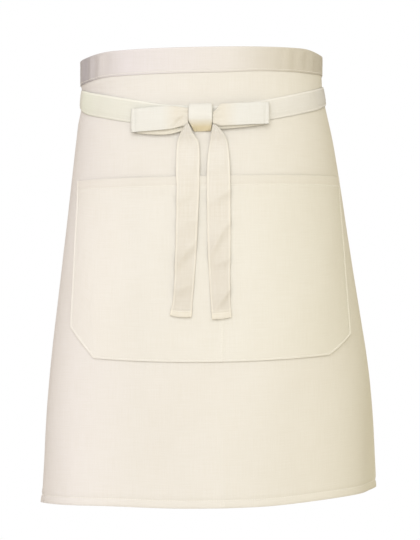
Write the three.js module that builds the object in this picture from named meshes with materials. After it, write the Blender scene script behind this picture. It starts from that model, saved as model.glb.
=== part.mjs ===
// A baker's waist apron of natural cotton, in the form it takes when worn. A flat-cut skirt panel hangs from
// a folded waistband, a wide patch pocket in two compartments is sewn on its front, and two long ties leave
// the waistband's ends, cross behind the wearer, come back to the front and are tied there in a bow.
//
// Millimetres, +Z up. The wearer faces -Y, with the right hand at -X.
// The origin is the centre of the waist, level with the waistband's top edge.
//
// Cloth pieces are drawn flat, as they are cut, and then laid on the wearer's form. A place on the form is
//   along  the distance round it from the crease down the apron's middle, positive towards +X
//   drop   the distance below the waistband's top edge
//   out    the distance outwards from the form
import * as THREE from "three";
import { mergeVertices } from "three/addons/utils/BufferGeometryUtils.js";

// Driving dimensions
const LENGTH = 600; // waistband's top edge to hem
const PANEL_WIDTH = 620; // flat cut, side hem to side hem
const CLOTH = 1; // one layer of cloth
const GAP = 0.3; // between pieces that are sewn together
const BAND_HEIGHT = 34;
const BAND_SEAM = 10; // how far the panel reaches up into the waistband
const HEM_HEIGHT = 10; // lower hem and side hems
const TIE_PULLED = 28; // the 30 mm tie's width where it is pulled tight round the waist
const TIE_THICKNESS = 1.6; // folded and edge-stitched strip
const POCKET = {
  top: 170,
  bottom: 412,
  bow: 7, // how much higher the lower edge is at its ends than in its middle
  hem: 14,
  belly: 12, // how far the middle of each compartment stands off at its mouth
  fullness: 0.8, // under 1, a compartment fills out quickly from its seams
};
// The pocket on either side of its middle seam, each half with its lower corner cut off at a slant
const POCKET_HALVES = {
  right: { width: 209, cornerAcross: 39, cornerUp: 41 },
  left: { width: 202, cornerAcross: 49, cornerUp: 26 },
};
const TAIL_HEM = 9;
const TAIL_RISE = { from: 45, to: 3 }; // above the pocket's mouth, where a tail rises on to the pocket

// Horizontal sections through the form, from the waist to the hem. left and right are the sides' furthest x,
// front and back the furthest y, and leftAt and rightAt the y at which each side is widest.
const SECTIONS = [
  { drop: 0, left: -163, right: 162.5, front: -115, back: 100, leftAt: 0, rightAt: 0 },
  { drop: 50, left: -163.5, right: 164, front: -117, back: 104, leftAt: -2, rightAt: 2 },
  { drop: 130, left: -171, right: 180.5, front: -125, back: 118, leftAt: -10, rightAt: 12 },
  { drop: 290, left: -188, right: 206, front: -137, back: 135, leftAt: -26, rightAt: 32 },
  { drop: 450, left: -205, right: 232, front: -146, back: 150, leftAt: -42, rightAt: 52 },
  { drop: 600, left: -212.5, right: 243, front: -152, back: 160, leftAt: -58, rightAt: 72 },
];
const FLATNESS = 0.9; // under 1, the sections are a little squarer than ellipses
const TILT = 0.02; // the apron hangs this much lower for each millimetre towards -X
const CREASE_X = 27; // the pressed crease down the apron's middle
const RING_STEPS = 720;

// Soft folds that grow from a drop down to the hem. depth is how far each stands out, or in if negative.
const FOLDS = [
  { along: -255, halfWidth: 34, depth: -5, from: 330 },
  { along: -186, halfWidth: 46, depth: 4, from: 380 },
  { along: -70, halfWidth: 38, depth: -3.5, from: 400 },
  { along: 0, halfWidth: 34, depth: 3, from: 380 },
  { along: 92, halfWidth: 48, depth: -3.5, from: 390 },
  { along: 190, halfWidth: 52, depth: 4, from: 380 },
  { along: 262, halfWidth: 36, depth: -4, from: 400 },
];
const CORNER_CURL = { reach: 70, depth: 7 }; // the free lower corner at -X turns outwards

// The ties, each from the end of the waistband it is sewn to, behind the waist and round to the knot.
// share is how much of that way is done, drop is the height of the tie's middle.
const TIES = {
  tie_left: {
    side: 1,
    route: [
      { share: 0, drop: 17, out: 0.5 },
      { share: 0.024, drop: 17.2, out: 1.5 },
      { share: 0.057, drop: 18.5, out: 2.8 },
      { share: 0.095, drop: 21.5, out: 3.2 },
      { share: 0.229, drop: 32, out: 3.2 },
      { share: 0.357, drop: 44, out: 3.2 },
      { share: 0.43, drop: 49.5, out: 3 },
      { share: 0.476, drop: 52, out: 3 },
      { share: 0.595, drop: 58.5, out: 2.8 },
      { share: 0.738, drop: 69, out: 2.6 },
      { share: 0.881, drop: 83, out: 2.6 },
      { share: 0.952, drop: 91, out: 3 },
      { share: 1, drop: 94, out: 3.4 },
    ],
  },
  tie_right: {
    side: -1,
    route: [
      { share: 0, drop: 17, out: 0.5 },
      { share: 0.05, drop: 18.5, out: 0.5 },
      { share: 0.207, drop: 32, out: 0.6 },
      { share: 0.325, drop: 44.6, out: 0.6 },
      { share: 0.346, drop: 46.8, out: 0.7 },
      { share: 0.38, drop: 49.5, out: 2 },
      { share: 0.41, drop: 50.5, out: 2.8 },
      { share: 0.473, drop: 52.5, out: 2.9 },
      { share: 0.641, drop: 57, out: 2.8 },
      { share: 0.768, drop: 69, out: 2.6 },
      { share: 0.895, drop: 84, out: 2.6 },
      { share: 0.958, drop: 91, out: 3 },
      { share: 1, drop: 93, out: 3.4 },
    ],
  },
};

// The bow. back, fold and front are the drops of a loop's middle where it leaves the knot, where it folds and
// where it comes back, and sag is how far its back layer hangs below its front layer.
const KNOT = {
  left: -43,
  right: -12.5,
  top: 76,
  bottom: 112,
  back: 1.6,
  front: 15,
  edge: 2, // rounding of its sides
  round: 6.2, // rounding of its top and bottom
  foot: { from: 98, left: 6, right: 1.5 }, // how far its foot is drawn in
};
const LOOPS = {
  bow_loop_right: { side: -1, reach: 74, back: 98, fold: 96, front: 93, sag: 3, knotWidth: 24, width: 31 },
  bow_loop_left: { side: 1, reach: 73, back: 96, fold: 88, front: 93, sag: 1, knotWidth: 22, width: 29 },
};
const LOOP_OUT = { back: 6.2, front: 10.4, fold: 11, radius: 1.7 };
const LOOP_PINCH = 0.4; // the share of a loop's reach over which the knot draws it in
// The tails' edges, and how far each lies clear of the cloth behind it.
const TAILS = {
  tail_right: [
    { drop: 103, left: -45.6, right: -42.4, clear: 11 },
    { drop: 110, left: -50, right: -39.6, clear: 11 },
    { drop: 116, left: -53.5, right: -37, clear: 9.6 },
    { drop: 126, left: -57.7, right: -30.2, clear: 6 },
    { drop: 143, left: -59.1, right: -28.8, clear: 2.6 },
    { drop: 165, left: -59.3, right: -28.9, clear: 0.9 },
    { drop: 187, left: -58.4, right: -29.1, clear: 0.7 },
    { drop: 277, left: -60.2, right: -33.4, clear: 0.7 },
    { drop: 322, left: -62.2, right: -36.8, clear: 0.7 },
    { drop: 354, left: -66.8, right: -39, clear: 0.9 },
  ],
  tail_left: [
    { drop: 105, left: -12.4, right: -8.6, clear: 11 },
    { drop: 110, left: -13.2, right: -3.5, clear: 11 },
    { drop: 116, left: -13.8, right: 1.5, clear: 9.6 },
    { drop: 126, left: -15.4, right: 6.7, clear: 6 },
    { drop: 143, left: -18.3, right: 9.3, clear: 2.6 },
    { drop: 165, left: -19.5, right: 10.3, clear: 0.9 },
    { drop: 187, left: -19.7, right: 10.6, clear: 0.7 },
    { drop: 258, left: -18.8, right: 11.1, clear: 0.7 },
    { drop: 317, left: -15.8, right: 10.4, clear: 0.7 },
    { drop: 357, left: -12.8, right: 12, clear: 0.9 },
  ],
};

// Tables

// The value of one column of a table at a key, on a smooth curve through its rows.
function smooth(rows, key, at, column) {
  const last = rows.length - 2;
  const found = rows.findIndex((row, k) => k > 0 && at <= row[key]) - 1;
  const i = found < 0 ? (at <= rows[0][key] ? 0 : last) : Math.min(found, last);
  const slope = (k) => {
    const before = rows[Math.max(k - 1, 0)];
    const after = rows[Math.min(k + 1, rows.length - 1)];
    return (after[column] - before[column]) / (after[key] - before[key]);
  };
  const [a, b] = [rows[i], rows[i + 1]];
  const span = b[key] - a[key];
  const t = (at - a[key]) / span;
  return (
    (2 * t ** 3 - 3 * t ** 2 + 1) * a[column] +
    (t ** 3 - 2 * t ** 2 + t) * span * slope(i) +
    (3 * t ** 2 - 2 * t ** 3) * b[column] +
    (t ** 3 - t ** 2) * span * slope(i + 1)
  );
}

// Even steps of at most a given size between neighbouring stops, with every stop kept.
function stations(stops, step) {
  const made = [stops[0]];
  for (let k = 1; k < stops.length; k++) {
    const [from, to] = [stops[k - 1], stops[k]];
    const count = Math.max(1, Math.ceil((to - from) / step - 1e-6));
    for (let j = 1; j <= count; j++) made.push(from + ((to - from) * j) / count);
  }
  return made;
}

// The form

// A point of the form at a turn round it, in radians from the front.
function formTurn(turn, drop) {
  const column = (name) => smooth(SECTIONS, "drop", drop, name);
  const [left, right] = [column("left"), column("right")];
  const [s, c] = [Math.sin(turn), Math.cos(turn)];
  const centre = (left + right) / 2;
  const widest = column(s > 0 ? "rightAt" : "leftAt");
  const furthest = column(c > 0 ? "front" : "back");
  const x = centre + ((right - left) / 2) * Math.sign(s) * Math.abs(s) ** FLATNESS;
  const y = widest + (furthest - widest) * Math.abs(c) ** FLATNESS;
  return new THREE.Vector3(x, y, -drop + TILT * x);
}

// One whole section as points with their distances along it from the crease.
const rings = new Map();
function ring(drop) {
  if (!rings.has(drop)) {
    const points = Array.from({ length: RING_STEPS + 1 }, (_, k) =>
      formTurn(-Math.PI + (2 * Math.PI * k) / RING_STEPS, drop),
    );
    const along = [0];
    for (let k = 1; k <= RING_STEPS; k++) along.push(along[k - 1] + points[k].distanceTo(points[k - 1]));
    const k = points.findIndex((p, i) => i > RING_STEPS / 4 && p.x > CREASE_X) - 1;
    const part = (CREASE_X - points[k].x) / (points[k + 1].x - points[k].x);
    const zero = along[k] + part * (along[k + 1] - along[k]);
    rings.set(drop, { points, along: along.map((distance) => distance - zero) });
  }
  return rings.get(drop);
}

// The step of a section just before a place along it, and the part of a step from there.
function locate(along, drop) {
  const distances = ring(drop).along;
  let [low, high] = [0, RING_STEPS];
  while (high - low > 1) {
    const middle = (low + high) >> 1;
    if (distances[middle] <= along) low = middle;
    else high = middle;
  }
  return { low, part: (along - distances[low]) / (distances[high] - distances[low]) };
}

function formPoint(along, drop) {
  const { low, part } = locate(along, drop);
  const { points } = ring(drop);
  return points[low].clone().lerp(points[low + 1], part);
}

function turnOf(along, drop) {
  const { low, part } = locate(along, drop);
  return -Math.PI + (2 * Math.PI * (low + part)) / RING_STEPS;
}

// A point at a distance outwards from a surface given by a function of two places, u to +X and v downwards.
function offset(surface, u, v, stepU, stepV, out) {
  const across = surface(u + stepU, v).sub(surface(u - stepU, v));
  const down = surface(u, v + stepV).sub(surface(u, v - stepV));
  const normal = down.cross(across).normalize();
  return surface(u, v).addScaledVector(normal, out);
}

function foldOut(along, drop) {
  let out = 0;
  for (const fold of FOLDS) {
    const grown = THREE.MathUtils.smoothstep(drop, fold.from, LENGTH);
    out += fold.depth * grown * Math.exp(-(((along - fold.along) / fold.halfWidth) ** 2));
  }
  const toCorner = Math.hypot(along + PANEL_WIDTH / 2, drop - LENGTH) / CORNER_CURL.reach;
  return out + CORNER_CURL.depth * Math.max(0, 1 - toCorner) ** 2;
}

// The cloth lying on the form, with its folds.
const onForm = (along, drop, out) => offset(formPoint, along, drop, 2, 2, out + foldOut(along, drop));
const onTurn = (turn, drop, out) => offset(formTurn, turn, drop, 0.02, 2, out);

// Solids

function closed(geometry) {
  geometry.deleteAttribute("normal");
  geometry.deleteAttribute("uv");
  const merged = mergeVertices(geometry, 1e-3);
  merged.computeVertexNormals();
  return merged;
}

// A sheet of cloth as a closed solid. place(u, v, outside) gives each grid point, on the side that faces the
// body where outside is 0 and on the other side where it is 1.
function sheet(us, vs, place) {
  const geometry = new THREE.BoxGeometry(1, 1, 1, us.length - 1, vs.length - 1, 1);
  const position = geometry.getAttribute("position");
  for (let k = 0; k < position.count; k++) {
    const u = us[Math.round((position.getX(k) + 0.5) * (us.length - 1))];
    const v = vs[Math.round((0.5 - position.getY(k)) * (vs.length - 1))];
    const point = place(u, v, position.getZ(k) > 0 ? 1 : 0);
    position.setXYZ(k, point.x, point.y, point.z);
  }
  return closed(geometry);
}

// Pieces

// Stations round the form that the panel, its waistband and its pocket share, so that they lie evenly.
const SIDE_HEM = PANEL_WIDTH / 2 - HEM_HEIGHT;
const halfStations = ({ width, cornerAcross }) =>
  stations([0, width - cornerAcross, width, SIDE_HEM - 1, SIDE_HEM, PANEL_WIDTH / 2], 15.5);
const RIGHT_STATIONS = halfStations(POCKET_HALVES.right).map((distance) => -distance);
const PANEL_STATIONS = [...RIGHT_STATIONS.slice(1).reverse(), ...halfStations(POCKET_HALVES.left)];

// One layer of cloth with its lower and side hems folded to the inside.
function skirtPanel() {
  const top = BAND_HEIGHT - BAND_SEAM + GAP;
  const fold = LENGTH - HEM_HEIGHT;
  const drops = stations([top, BAND_HEIGHT, BAND_HEIGHT + 1, fold - 1, fold, LENGTH], 29);
  return sheet(PANEL_STATIONS, drops, (along, drop, outside) => {
    const hemmed = drop >= fold || (Math.abs(along) >= SIDE_HEM && drop > BAND_HEIGHT);
    const out = outside ? CLOTH : hemmed ? -CLOTH : 0;
    return onForm(along, drop, out);
  });
}

// A folded strip that takes the panel's top edge between its two leaves.
function waistband() {
  const inner = -GAP - CLOTH;
  const outer = CLOTH + GAP + CLOTH;
  const slot = BAND_HEIGHT - BAND_SEAM;
  const section = new THREE.Shape();
  section.moveTo(inner, -BAND_HEIGHT);
  section.lineTo(-GAP, -BAND_HEIGHT);
  section.lineTo(-GAP, -slot);
  section.lineTo(CLOTH + GAP, -slot);
  section.lineTo(CLOTH + GAP, -BAND_HEIGHT);
  section.lineTo(outer, -BAND_HEIGHT);
  section.lineTo(outer, -CLOTH);
  section.quadraticCurveTo(outer, 0, outer - CLOTH, 0);
  section.lineTo(inner + CLOTH, 0);
  section.quadraticCurveTo(inner, 0, inner, -CLOTH);
  const steps = PANEL_STATIONS.length - 1;
  const geometry = new THREE.ExtrudeGeometry(section, {
    depth: steps,
    steps,
    bevelEnabled: false,
    curveSegments: 2,
  });
  const position = geometry.getAttribute("position");
  for (let k = 0; k < position.count; k++) {
    const along = PANEL_STATIONS[steps - Math.round(position.getZ(k))];
    const point = onForm(along, -position.getY(k), position.getX(k));
    position.setXYZ(k, point.x, point.y, point.z);
  }
  return closed(geometry);
}

const pocketHalf = (along) => (along < 0 ? POCKET_HALVES.right : POCKET_HALVES.left);

// The drop of the pocket's lower edge: a shallow bow, and then the slant up a cut corner.
function pocketBottom(along) {
  const { width, cornerAcross, cornerUp } = pocketHalf(along);
  const corner = width - cornerAcross;
  const bowed = POCKET.bow * Math.min(1, Math.abs(along) / corner) ** 2;
  const intoCorner = Math.max(0, (Math.abs(along) - corner) / cornerAcross);
  return POCKET.bottom - bowed - intoCorner * cornerUp;
}

// How far the pocket stands off the panel: nothing at its seams and its middle seam, most at the two mouths.
function pocketGap(along, drop) {
  const across = Math.abs(along) / pocketHalf(along).width;
  const down = (drop - POCKET.top) / (pocketBottom(along) - POCKET.top);
  return GAP + POCKET.belly * Math.sin(Math.PI * across) ** POCKET.fullness * (1 - down ** 2);
}

// The outer face of the cloth behind a tail: the panel, and from just above its mouth the pocket.
function frontFace(along, drop) {
  const risen = THREE.MathUtils.smoothstep(drop, POCKET.top - TAIL_RISE.from, POCKET.top - TAIL_RISE.to);
  return CLOTH + risen * (pocketGap(along, drop) + 2 * CLOTH);
}

// A patch with a folded hem along its mouth, sewn down at its sides, its bottom and its middle.
function pocket() {
  const { top, bottom, hem } = POCKET;
  const us = PANEL_STATIONS.filter((along) => Math.abs(along) <= pocketHalf(along).width);
  const depth = bottom - top;
  return sheet(us, stations([0, hem, hem + 1, depth], 20), (along, row, outside) => {
    const hemmed = row <= hem;
    const share = (row - hem) / (depth - hem);
    const drop = hemmed ? top + row : THREE.MathUtils.lerp(top + hem, pocketBottom(along), share);
    const thick = hemmed ? 2 * CLOTH : CLOTH;
    return onForm(along, drop, CLOTH + pocketGap(along, drop) + outside * thick);
  });
}

// A strip pulled round the waist, from its seam on the waistband's end to the far side of the knot.
function tie({ side, route }) {
  const at = (share, column) => smooth(route, "share", share, column);
  const shares = stations([0, 1], 1 / 42);
  const heights = stations([-TIE_PULLED / 2, TIE_PULLED / 2], TIE_PULLED / 2);
  const us = side > 0 ? shares : shares.reverse();
  return sheet(us, heights, (share, height, outside) => {
    const drop = at(share, "drop") + height;
    const start = turnOf(side * (PANEL_WIDTH / 2 + GAP), drop);
    const end = turnOf(side > 0 ? KNOT.left - GAP : KNOT.right + GAP, drop) + side * 2 * Math.PI;
    const out = at(share, "out") + (outside - 0.5) * TIE_THICKNESS;
    return onTurn(THREE.MathUtils.lerp(start, end, share), drop, out);
  });
}

// A strip that leaves the knot, folds back and returns to it. Its steps are the back layer from 0 to 1, the
// fold from 1 to 2 and the front layer from 2 to 3.
function bowLoop({ side, reach, back, fold, front, sag, knotWidth, width }) {
  const { clamp, lerp, smoothstep } = THREE.MathUtils;
  const { radius } = LOOP_OUT;
  const start = side < 0 ? KNOT.left - GAP : KNOT.right + GAP;
  const away = (step) => clamp(Math.min(step, 3 - step), 0, 1);
  const centre = (step) => {
    const turned = clamp(step - 1, 0, 1) * Math.PI;
    const atKnot = step < 1.5 ? LOOP_OUT.back : LOOP_OUT.front;
    return {
      along: start + side * ((reach - radius) * away(step) + radius * Math.sin(turned)),
      out: lerp(atKnot, LOOP_OUT.fold - radius * Math.cos(turned), away(step) ** 1.5),
    };
  };
  const middle = (step) => {
    const hang = step < 1 ? sag * Math.sin(Math.PI * step) : 0;
    return lerp(step < 1.5 ? back : front, fold, away(step)) + hang;
  };
  const steps = stations([0, 1, 2, 3], 1 / 7);
  return sheet(steps, stations([-0.5, 0.5], 0.34), (step, share, outside) => {
    const here = centre(step);
    const [before, after] = [centre(step - 0.02), centre(step + 0.02)];
    const run = Math.hypot(after.along - before.along, after.out - before.out);
    const half = ((outside - 0.5) * TIE_THICKNESS) / run;
    const drop = middle(step) + share * lerp(knotWidth, width, smoothstep(away(step), 0, LOOP_PINCH));
    const along = here.along - (after.out - before.out) * half;
    return onForm(along, drop, here.out + (after.along - before.along) * half);
  });
}

// The wrap of the tie round the crossing: rounded over its top and bottom, and drawn in at its foot.
function knot() {
  const { left, right, top, bottom, back, front, edge, round, foot } = KNOT;
  const [height, depth] = [bottom - top, front - back];
  const section = new THREE.Shape();
  section.moveTo(0, round);
  section.lineTo(0, height - round);
  section.quadraticCurveTo(0, height, round, height);
  section.lineTo(depth - round, height);
  section.quadraticCurveTo(depth, height, depth, height - round);
  section.lineTo(depth, round);
  section.quadraticCurveTo(depth, 0, depth - round, 0);
  section.lineTo(round, 0);
  section.quadraticCurveTo(0, 0, 0, round);
  const geometry = new THREE.ExtrudeGeometry(section, {
    depth: right - left - 2 * edge,
    steps: 4,
    bevelThickness: edge,
    bevelSize: edge,
    bevelOffset: -edge,
    bevelSegments: 2,
    curveSegments: 5,
  });
  const position = geometry.getAttribute("position");
  for (let k = 0; k < position.count; k++) {
    const drop = bottom - position.getY(k);
    const low = THREE.MathUtils.smoothstep(drop, foot.from, bottom);
    const across = 1 - (position.getZ(k) + edge) / (right - left);
    const along = THREE.MathUtils.lerp(left + foot.left * low, right - foot.right * low, across);
    const point = onForm(along, drop, back + position.getX(k));
    position.setXYZ(k, point.x, point.y, point.z);
  }
  return closed(geometry);
}

// A loose end of a tie, drawn to a point in the knot and hemmed at its foot.
function tail(rows) {
  const [start, end] = [rows[0].drop, rows[rows.length - 1].drop];
  const fold = end - TAIL_HEM;
  const drops = stations([start, fold - 1, fold, end], 11);
  const shares = stations([0, 1], 0.25);
  return sheet(shares, drops, (share, drop, outside) => {
    const [left, right, clear] = ["left", "right", "clear"].map((key) => smooth(rows, "drop", drop, key));
    const along = THREE.MathUtils.lerp(left, right, share);
    const thick = drop >= fold ? TIE_THICKNESS + CLOTH : TIE_THICKNESS;
    return onForm(along, drop, frontFace(along, drop) + clear + outside * thick);
  });
}

// The apron

const SKIRT_COLOUR = 0xf1e9d9;
const TIE_COLOUR = 0xf4efe1;

const apron = new THREE.Group();
const add = (name, geometry, color) => {
  const cotton = new THREE.MeshStandardMaterial({ color, roughness: 0.9, metalness: 0 });
  const mesh = new THREE.Mesh(geometry, cotton);
  mesh.name = name;
  apron.add(mesh);
};
add("skirt_panel", skirtPanel(), SKIRT_COLOUR);
add("waistband", waistband(), SKIRT_COLOUR);
add("pocket", pocket(), SKIRT_COLOUR);
for (const [name, table] of Object.entries(TIES)) add(name, tie(table), TIE_COLOUR);
add("knot", knot(), TIE_COLOUR);
for (const [name, table] of Object.entries(LOOPS)) add(name, bowLoop(table), TIE_COLOUR);
for (const [name, rows] of Object.entries(TAILS)) add(name, tail(rows), TIE_COLOUR);

export default apron;
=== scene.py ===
"""A worn cotton waist apron: its cloth pieces in full detail, their stitching, and a plain studio.

Lengths are in millimetres until a mesh is made. A place on the cloth is given as in the flat cut:
  along  the distance round the worn form from the crease down the apron's middle, positive towards +X
  drop   the distance below the waistband's top edge
  out    the distance outwards from the form
"""
import math

import bpy
import numpy as np
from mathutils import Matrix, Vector


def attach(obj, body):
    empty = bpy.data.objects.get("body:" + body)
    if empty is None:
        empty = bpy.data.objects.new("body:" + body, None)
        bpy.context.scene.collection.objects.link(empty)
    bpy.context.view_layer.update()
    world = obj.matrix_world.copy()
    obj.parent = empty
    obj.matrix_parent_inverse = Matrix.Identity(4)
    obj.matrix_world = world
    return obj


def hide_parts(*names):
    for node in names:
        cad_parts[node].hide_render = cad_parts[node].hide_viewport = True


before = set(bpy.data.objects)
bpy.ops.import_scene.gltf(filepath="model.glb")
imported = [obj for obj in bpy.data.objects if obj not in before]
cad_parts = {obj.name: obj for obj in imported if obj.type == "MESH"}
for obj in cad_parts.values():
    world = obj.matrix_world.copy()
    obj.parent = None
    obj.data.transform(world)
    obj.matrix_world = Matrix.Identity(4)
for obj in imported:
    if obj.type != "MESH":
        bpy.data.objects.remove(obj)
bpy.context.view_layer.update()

MM = 0.001

# Driving dimensions
LENGTH = 600
PANEL_HALF = 310
CLOTH = 1
GAP = 0.3
HEM = 10
HEM_STEP = 1
BAND_HEIGHT = 34
BAND_SEAM = 10
TIE_PULLED = 28
TIE_THICKNESS = 1.6
TIE_BULGE = 0.8
POCKET_TOP = 170
POCKET_BOTTOM = 412
POCKET_HEM = 14
POCKET_BELLY = 1.2
POCKET_FULLNESS = 0.8
TAIL_WIDTH = 30
TAIL_THICKNESS = 1.2
TAIL_HEM = 9
# The pocket's halves at -X and +X: width, bow of the lower edge, and the slant that cuts off the corner
POCKET_WIDTHS = (209, 201)
POCKET_BOWS = (7, 4.5)
POCKET_CUTS_ACROSS = (39, 49)
POCKET_CUTS_UP = (41, 26)

# The form's sections: drop, left, right, front, back, and the y where the left and right sides are widest
SECTIONS = np.array([
    [0, -163, 162.5, -115, 100, 0, 0],
    [50, -163.5, 164, -117, 104, -2, 2],
    [130, -171, 180.5, -125, 118, -10, 12],
    [290, -188, 206, -137, 135, -26, 32],
    [450, -205, 232, -146, 150, -42, 52],
    [600, -212.5, 243, -152, 160, -58, 72],
])
FLATNESS = 0.9
TILT = 0.02
CREASE_X = 27

# Soft folds: along, half width, depth outwards, and the drop where the fold begins
FOLDS = [
    (-255, 34, -1.5, 330),
    (-186, 46, 4, 380),
    (-70, 38, -3.5, 400),
    (0, 34, 3, 380),
    (92, 48, -3.5, 390),
    (190, 52, 4, 380),
    (262, 36, -4, 400),
]
# Where the lower edge hangs higher towards the sides: along from, along to, rise
HEM_RISES = [(-40, -170, 4.4), (40, 200, 5.8)]
HEM_RISE_FROM = 250
# The lower corner at -X, turned out beyond a soft diagonal dent
CORNER_REACH = 70
CORNER_DEPTH = 5
CORNER_DROOP = 5
CORNER_ACROSS = 52
CORNER_UP = 44
CORNER_DENT = 1.2
CORNER_DENT_SHARE = 0.3
CORNER_DENT_REACH = 45
# Where the taut tie draws the cloth in at the -X side
CINCH = 2.9
CINCH_DROP, CINCH_HALF_HEIGHT = 60, 23
CINCH_ALONG, CINCH_HALF_WIDTH = -205, 64
CINCH_FADE = (BAND_HEIGHT + 2, BAND_HEIGHT + 11)

# The ties: the side each starts from, and the route from there to the knot: share of the way, drop, out
TIES = {
    "tie_left": (1, np.array([
        [0, 17, 0.5], [0.024, 17.2, 1.5], [0.057, 18.5, 2.8], [0.095, 21.5, 3.2], [0.229, 32, 3.2],
        [0.357, 44, 3.2], [0.43, 49.5, 3], [0.476, 52, 2.8], [0.53, 54.9, 1.9], [0.58, 57.6, 1.1],
        [0.63, 60.6, 0], [0.68, 64.1, 0.5], [0.738, 69, 1.5], [0.79, 73.6, 2.1], [0.881, 83, 2.4],
        [0.952, 91, 3], [1, 94, 3.4],
    ])),
    "tie_right": (-1, np.array([
        [0, 17, 0.5], [0.05, 18.5, 0.5], [0.207, 32, 0.6], [0.325, 44.6, 0.6], [0.346, 46.8, 0.7],
        [0.38, 49.5, 2], [0.41, 50.5, 2.8], [0.473, 52.5, 2.9], [0.641, 57, 2.5], [0.768, 69, 2.3],
        [0.895, 84, 2.4], [0.958, 91, 3], [1, 93, 3.4],
    ])),
}
# How far the ties' edges are drawn up on the way: share of the way, upper edge, lower edge
TIE_EDGES = {
    "tie_left": np.array([
        [0, 0, 0], [0.5, 0, 0], [0.56, 1, 2.5], [0.63, 2, 5], [0.7, 2, 1.5], [0.76, 2, 0], [1, 2, 0],
    ]),
    "tie_right": np.array([
        [0, 0, 0], [0.5, 0, 0], [0.63, -2, 2], [0.75, -1, 0], [0.89, 0, 1], [1, 0, 2],
    ]),
}

# The bow
KNOT_LEFT, KNOT_RIGHT = -43, -12.5
KNOT_TOP, KNOT_BOTTOM = 76, 112
KNOT_BACK, KNOT_FRONT = 1.6, 15
LOOPS = {
    "bow_loop_right": dict(side=-1, reach=74, back=98, fold=96, front=93, sag=3, knot_width=24, width=31,
                           pinch=0.4, shoulder=1.0, dimple=3.2, tuck=2.0),
    "bow_loop_left": dict(side=1, reach=73, back=96, fold=89.4, front=92.3, sag=1, knot_width=22, width=29,
                          pinch=0.16, shoulder=6.5, dimple=0.8, tuck=1.0),
}
LOOP_BACK_OUT = 6.2
LOOP_FRONT_OUT = 10.4
LOOP_FOLD_OUT = 7.5
LOOP_RADIUS = 1.7
# The tails: drop, left edge, right edge, how far the tail lies clear of the cloth behind it
TAILS = {
    "tail_right": np.array([
        [103, -45.6, -42.4, 11], [110, -50, -39.6, 10.6], [116, -53.5, -37, 8.4], [126, -57.7, -30.2, 3.6],
        [143, -59.1, -28.8, 1.0], [165, -59.3, -28.9, 0.7], [187, -58.4, -29.1, 0.7],
        [277, -60.2, -33.4, 0.4], [322, -62.2, -36.8, 0.4], [354, -66.8, -39, 0.5],
    ]),
    "tail_left": np.array([
        [105, -12.4, -8.6, 11], [110, -13.2, -3.5, 10.6], [116, -13.8, 1.5, 8.4], [126, -15.4, 6.7, 3.6],
        [143, -18.3, 9.3, 1.0], [165, -19.5, 10.3, 0.8], [187, -19.7, 10.6, 0.8], [258, -18.8, 11.1, 0.4],
        [317, -15.8, 10.4, 0.4], [357, -12.8, 12, 0.5],
    ]),
}
# How far the foot of each tail is drawn up at its edge at -X and at its edge at +X
TAIL_FEET = {"tail_right": (3.5, 0.5), "tail_left": (0, 2.5)}
# Creases across the tails, each a slow rise and a quicker fall: drop, slope, rise, fall, depth, where across
# the tail it is deepest, and how far it reaches
TAIL_CREASES = {
    "tail_right": [
        (196, 0.4, 16, 7, 2.8, 8, 12),
        (232, 0.3, 22, 12, 3.4, 15, 30),
        (268, 0.9, 20, 11, 5.4, 14, 20),
        (314, 0.15, 18, 9, 5.6, 11, 14),
    ],
    "tail_left": [
        (160, 0.3, 14, 8, 2.4, 9, 9),
        (198, 0.6, 18, 8, 4.4, 20, 14),
        (238, 0.2, 10, 4, 2.0, 27, 7),
        (250, 1.5, 18, 12, 5.4, 12, 12),
        (281, 0.1, 16, 8, 5.0, 20, 10),
        (332, 0.9, 14, 8, 5.0, 20, 14),
    ],
}

# Small hills and dips of each cloth: height, size, closeness downwards, seed
HILLS = {
    "panel": [(0.35, 90, 0.6, 3), (0.14, 34, 1, 4)],
    "panel_hem": [(0.22, 7, 0.3, 5)],
    "band": [(0.22, 26, 1, 6)],
    "pocket": [(0.3, 60, 1, 11), (0.12, 24, 1, 12)],
    "tie_left": [(0.18, 22, 1, 21), (0.12, 9, 1, 22)],
    "tie_right": [(0.18, 22, 1, 22), (0.12, 9, 1, 23)],
    "tail_right": [(0.25, 18, 1, 41)],
    "tail_left": [(0.25, 18, 1, 42)],
    "knot": [(0.2, 9, 1, 61)],
}
# The largest steps of each sheet's mesh, both ways
STEPS = {"panel": (3.3, 3.6), "pocket": (3, 3), "tie": (3, 1.8), "loop": (1.6, 1.8), "tail": (1.8, 2)}

# Stitching
STITCH_PITCH = 3.2
STITCH_LENGTH = 2.5
STITCH_HALF_WIDTH = 0.32
STITCH_FLATNESS = 0.8
STITCH_RISE = 0.2
STITCH_INSET = 2.2
STITCH_SIDES = 6
# The rings of a stitch, as shares of its length, rise and half width
STITCH_RINGS = [(0, -0.15, 0.5), (0.25, 0.8, 0.95), (0.75, 0.8, 0.95), (1, -0.15, 0.5)]
ROW_STEP = 0.4
ROW_AHEAD = 0.5
ROW_INSET = 2
SEAM_DEPTH = 0.28
SEAM_HALF_WIDTH = 0.9
# How much deeper and wider the grooves of thick hems are than other seams
HEM_GROOVE = (4, 1.5)
MOUTH_GROOVE = (2, 1.3)
TIE_GROOVE = (1.5, 1.2)


# Tables and grids

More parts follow.
